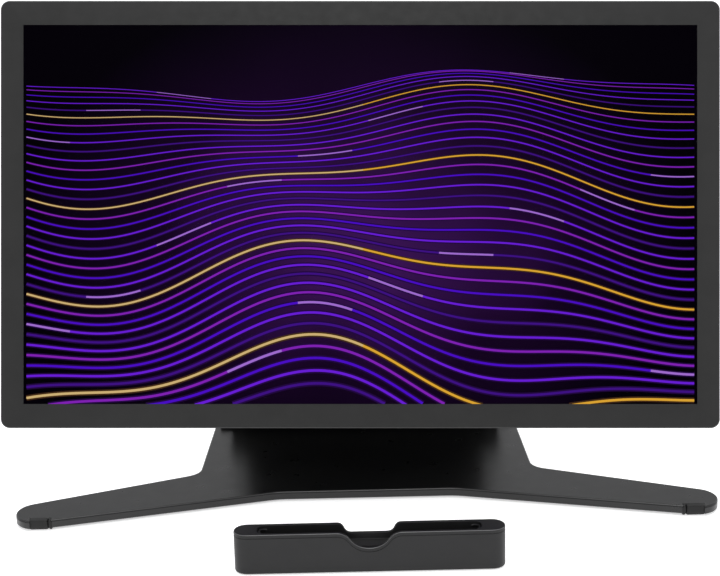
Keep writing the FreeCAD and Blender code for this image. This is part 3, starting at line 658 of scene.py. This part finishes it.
def height_at(points, x):
    if x <= points[0][0] or x >= points[-1][0]:
        return points[0][1]
    index = next(i for i, (place, _) in enumerate(points) if place >= x)
    (x0, z0), (x1, z1) = points[index - 1], points[index]
    return z0 + (z1 - z0) * (x - x0) / (x1 - x0)


def even(points, count):
    """The same polyline with evenly spaced points."""
    lengths = [0.0]
    for a, b in zip(points, points[1:]):
        lengths.append(lengths[-1] + (b - a).length)
    spaced = []
    for step in range(count):
        reach = lengths[-1] * step / (count - 1)
        passed = max(i for i, length in enumerate(lengths) if length <= reach + 1e-9)
        index = min(passed, len(points) - 2)
        share = (reach - lengths[index]) / (lengths[index + 1] - lengths[index])
        spaced.append(points[index].lerp(points[index + 1], share))
    return spaced


def tray_shell():
    """One skin: wall with a rim band, round lip that follows the scoops, and the trough inside."""
    low, high = span("tray_shell")
    liner_low, liner_high = span("tray_liner")
    middle = (low + high) / 2
    half_long, half_deep = (high.x - low.x) / 2, (high.y - low.y) / 2
    trough_long = (liner_high.x - liner_low.x) / 2 + 0.2
    trough_deep = (liner_high.y - liner_low.y) / 2 + 0.2
    corner = 6.0
    end_x = trough_long - corner
    straight = [-end_x + 2 * end_x * step / 120 for step in range(121)]

    def end_of(outline, count=26):
        """The right-hand end of an outline, from front to back."""
        return even([p for p in outline if p.x > end_x - 0.01], count)

    def whole(half_y, outline):
        bend = [p for p in outline if p.x > end_x]
        right = end_of([Vector((end_x, -half_y)), *bend, Vector((end_x, half_y))])
        front = [Vector((x, -half_y)) for x in straight[:-1]]
        left = [Vector((-p.x, -p.y)) for p in right]
        back = [Vector((-x, half_y)) for x in straight[:-1]]
        return front + right[:-1] + back + left[:-1]

    def ordered(half_x, half_y, radius):
        points = [p for p in round_box(half_x, half_y, radius, 16) if p.x > 0]
        return sorted(points, key=lambda p: math.atan2(p.y, p.x - end_x))

    outer = whole(half_deep, ordered(half_long, half_deep, half_deep - 0.01))
    inner = whole(trough_deep, ordered(trough_long, trough_deep, corner))
    lips = {side: lip_heights("tray_shell", side) for side in (-1, 1)}
    tops = [height_at(lips[-1 if p.y < 0 else 1], p.x + middle.x) for p in outer]
    round_edge, inner_edge, band, groove = 0.9, 0.7, 3.2, 0.35

    def ring(outline, push, levels):
        """Points of an outline pushed outwards, each at its own level."""
        return [Vector((p.x + middle.x, p.y + middle.y, level))
                for p, level in zip(offset(outline, push), levels)]

    def below(depth):
        return [top - depth for top in tops]

    bottom, floor = low.z, liner_high.z - 0.2
    count = len(outer)
    rings = [ring(inner, -1.6, [bottom] * count), ring(outer, -1.0, [bottom] * count),
             ring(outer, -0.3, [bottom + 0.3] * count), ring(outer, 0, [bottom + 1.0] * count),
             ring(outer, 0, below(band + 0.5)), ring(outer, -groove, below(band + 0.35)),
             ring(outer, -groove, below(band - 0.1)), ring(outer, -0.05, below(band - 0.3))]
    lip_from, lip_to = len(rings) + 1, len(rings) + 2           # one band of faces on the round lip
    for angle in (0, 30, 60, 90):
        turn = math.radians(angle)
        rings.append(ring(outer, -round_edge * (1 - math.cos(turn)),
                          below(round_edge * (1 - math.sin(turn)))))
    for angle in (90, 50, 0):
        turn = math.radians(angle)
        rings.append(ring(inner, inner_edge * (1 - math.cos(turn)),
                          below(inner_edge * (1 - math.sin(turn)))))
    rings += [ring(inner, 0, [floor + 1.5] * count), ring(inner, -0.5, [floor + 0.4] * count),
              ring(inner, -1.6, [floor] * count)]
    mesh = loft(rings)
    # the lip band takes the pale material: a painted highlight along the lip
    for face in mesh.polygons:
        face.material_index = 1 if lip_from * count <= face.index < lip_to * count else 0
    item = add_piece("tray_body", mesh, DESK, "tray", "tray_plastic", M["tray_plastic"], M["lip_highlight"])
    return stands_for(smooth(item, 40), "tray_shell")


def tube(path, radius, sides=12):
    """A round bar along points, with flat ends."""
    rings = []
    for index, point in enumerate(path):
        heading = (path[min(index + 1, len(path) - 1)] - path[max(index - 1, 0)]).normalized()
        across = across - heading * across.dot(heading) if rings else heading.orthogonal()
        across.normalize()
        upward = heading.cross(across)
        turns = [2 * math.pi * k / sides for k in range(sides)]
        rings.append([point + (across * math.cos(turn) + upward * math.sin(turn)) * radius
                      for turn in turns])
    return loft(rings)


def pen_rests():
    """A crescent bead at each end of the trough, which stops the pen."""
    low, high = span("tray_liner")
    top = span("tray_shell")[1].z
    middle = (low + high) / 2
    beads = []
    for side in (-1, 1):
        centre = Vector((middle.x + side * ((high.x - low.x) / 2 - 7.5), middle.y, top - 3.5))
        path = []
        for step in range(19):
            angle = math.radians(-90 + 180 * step / 18)
            path.append(centre + Vector((side * 6.4 * math.cos(angle), 6.4 * math.sin(angle),
                                         1.6 * math.cos(angle))))
        beads.append(tube(path, 0.9))
    return smooth(add_piece("pen_rests", joined(beads), DESK, "tray", "tray_plastic"), 60)


# ------------------------------------------------------------ back of the display
def socket_head(x, y, base, top, radius):
    """A screw head along z with a rounded rim and a hexagon socket; top may be above or below base."""
    way = 1 if top > base else -1
    count = 36
    turns = [2 * math.pi * k / count for k in range(count)]

    def circle(r, level):
        return [Vector((x + r * math.cos(a), y + r * math.sin(a), level)) for a in turns]

    def hexagon(r, level):
        sides = [r * math.cos(math.pi / 6) / math.cos(a % (math.pi / 3) - math.pi / 6) for a in turns]
        return [Vector((x + s * math.cos(a), y + s * math.sin(a), level)) for s, a in zip(sides, turns)]

    edge = 0.22 * radius
    rings = [circle(radius, base), circle(radius, top - way * edge),
             circle(radius - 0.3 * edge, top - way * 0.3 * edge), circle(radius - edge, top),
             hexagon(0.56 * radius, top), hexagon(0.5 * radius, top - way * 0.12 * radius),
             hexagon(0.5 * radius, base + way * 0.25)]
    return loft(rings)


def socket_screws(node, matrix, body, head, radius):
    """Screws with socket heads, one for each solid of the node; the heads point down z."""
    meshes = []
    sides = 20
    turns = [2 * math.pi * k / sides for k in range(sides)]
    for low, high in islands(node, matrix):
        x, y = (low.x + high.x) / 2, (low.y + high.y) / 2
        meshes.append(socket_head(x, y, low.z + head, low.z, (high.x - low.x) / 2))
        circle = [(x + radius * math.cos(turn), y + radius * math.sin(turn)) for turn in turns]
        meshes.append(loft([at(circle, level) for level in (low.z + head, high.z)]))
    item = smooth(add_piece(node + "_finished", joined(meshes), matrix, body, "steel"), 35)
    return stands_for(item, node)


def key_marks():
    """A raised bar or dot on each shortcut key, to tell them apart by touch."""
    for number in range(1, 9):
        low, high = span(f"shortcut_key_{number}", DISPLAY)
        x, y = (low.x + high.x) / 2, (low.y + high.y) / 2
        dot_or_bar = (0.91, 3.21)[number % 2]
        rows = [(0.0, low.z + 0.2), (0.0, low.z - 0.05), (0.25, low.z - 0.2)]
        rings = [at(round_box(0.9 - inset, dot_or_bar - inset, 0.62 - 0.4 * inset, 6, (x, y)), level)
                 for inset, level in rows]
        mark = add_piece(f"key_mark_{number}", loft(rings), DISPLAY, f"key_{number}", "key_plastic")
        smooth(mark, 60)


def plate(outline, base, top, edge):
    """A flat plate with its far edge rounded; the far side may be above or below the base."""
    way = 1 if top > base else -1
    rows = [(0, base), (0, top - way * edge)]
    turns = [math.radians(angle) for angle in (30, 60, 90)]
    rows += [(-edge * (1 - math.cos(turn)), top - way * edge * (1 - math.sin(turn))) for turn in turns]
    return loft([at(offset(outline, out), level) for out, level in rows])


def arm_fittings():
    """On the arm's back: a low border, a cable channel of two ribs with clips, and four screws."""
    low, high = span("arm_rear_cover", ARM)
    face, middle_y = low.z, (low.y + high.y) / 2
    margin, border, corner = 9, 2.2, 7
    rise, skirt = 0.9, 0.3                  # of the border above the cover, and below its face
    rib_x, rib_rise, clip_rise = 9, 3.6, 5.2
    screw_inset, screw_rise, screw_radius = 12, 1.3, 3.2
    half_x, half_y = (high.x - low.x) / 2 - margin, (high.y - low.y) / 2 - margin
    outer = round_box(half_x, half_y, corner, 8, (0, middle_y))
    inner = round_box(half_x - border, half_y - border, corner - border, 8, (0, middle_y))
    frame_rings = [at(inner, face + skirt), at(outer, face + skirt), at(outer, face - rise + 0.3),
                   at(offset(outer, -0.3), face - rise), at(offset(inner, 0.3), face - rise),
                   at(inner, face - rise + 0.3)]
    meshes = [loft(frame_rings, looped=True)]
    for side in (-1, 1):
        rib = round_box(1.6, half_y - 14, 1.5, 6, (side * rib_x, middle_y))
        meshes.append(plate(rib, face + skirt, face - rib_rise, 0.8))
    for share in (-0.62, 0, 0.62):
        clip = round_box(12.5, 4, 2, 6, (0, middle_y + share * half_y))
        meshes.append(plate(clip, face - rib_rise + 0.6, face - clip_rise, 0.7))
    smooth(add_piece("arm_cable_channel", joined(meshes), ARM, "arm", "arm_shell"), 40)
    out_x, out_y = half_x - screw_inset, half_y - screw_inset
    heads = [socket_head(x, middle_y + y, face + skirt, face - screw_rise, screw_radius)
             for x in (-out_x, out_x) for y in (-out_y, out_y)]
    smooth(add_piece("arm_cover_screws", joined(heads), ARM, "arm", "steel"), 35)


screen_picture()
cover_glass()
arm_fittings()
base_casting()
rubber_feet()
tray_shell()
pen_rests()
key_marks()
socket_screws("mount_screws", DISPLAY, "display", 2.0, 2.0)
socket_screws("housing_screws", DISPLAY, "display", 2.2, 1.4)

ROUNDING = {
    "mid_frame": 0.3, "rear_housing": 0.5, "base_bottom_cover": 0.5,
    "base_brackets": 0.8, "arm_frame": 0.6, "arm_front_cover": 1.0, "arm_rear_cover": 1.0,
    "tilt_bracket": 0.8, "release_lever_left": 1.2, "release_lever_right": 1.2, "mount_plate": 0.8,
    "tray_base_cover": 0.3, "tray_pads": 0.3, "rear_pads": 0.4,
    "power_button": 0.3, "settings_button": 0.3, "touch_switch": 0.3,
    "rotation_shaft": 0.4, "rotation_stator": 0.4, "port_plate": 0.2,
    "port_connectors": 0.12, "fan_housings": 0.6,
}
# nodes where a full radius would run into the next edge
CROWDED = ("mid_frame", "base_brackets", "tilt_bracket", "release_lever_left", "release_lever_right")
for node, radius in ROUNDING.items():
    rounded_copy(node, radius, clamped=node in CROWDED)


# ------------------------------------------------------------ stage, light, camera
def plane(name, size, material):
    mesh = bpy.data.meshes.new(name)
    half = size / 2
    corners = [(-half, -half, 0), (half, -half, 0), (half, half, 0), (-half, half, 0)]
    mesh.from_pydata(corners, [], [(0, 1, 2, 3)])
    mesh.materials.append(material)
    item = bpy.data.objects.new(name, mesh)
    scene.collection.objects.link(item)
    return item


FLOOR_GAP = 0.0002
# a light table: its own light keeps the shadows pale
floor_finish = Finish("pale_floor", (0.93, 0.93, 0.935), 0.6, Specular_IOR_Level=0.2,
                      Emission_Color=(1, 1, 1, 1), Emission_Strength=0.5)
floor = plane("floor", 30, floor_finish.mottle(400, 0.01).material)
floor.location.z = -FLOOR_GAP

world = bpy.data.worlds.new("studio")
world.use_nodes = True
world.node_tree.nodes["Background"].inputs["Color"].default_value = (0.98, 0.985, 1.0, 1)
world.node_tree.nodes["Background"].inputs["Strength"].default_value = 1.0
scene.world = world


def soft_light(name, place, aim, size, power):
    lamp = bpy.data.lights.new(name, "AREA")
    lamp.shape = "DISK"
    lamp.size = size
    lamp.energy = power
    item = bpy.data.objects.new(name, lamp)
    scene.collection.objects.link(item)
    item.location = place
    item.rotation_euler = (Vector(aim) - Vector(place)).to_track_quat("-Z", "Y").to_euler()


soft_light("overhead", (-0.05, 0.7, 2.6), (0, 0.1, 0.1), 2.6, 24)
soft_light("front", (0, -1.35, 1.1), (0, 0, 0.25), 0.7, 9)

CAMERA_PLACE = (-0.0003, -0.0651, 1.505)    # from the axis the head turns on, in metres
camera_data = bpy.data.cameras.new("camera")
camera_data.sensor_width = 36
camera_data.lens = 85
camera = bpy.data.objects.new("camera", camera_data)
scene.collection.objects.link(camera)
camera.matrix_world = DISPLAY @ Matrix.Translation(CAMERA_PLACE)
scene.camera = camera
scene.view_settings.view_transform = "Standard"
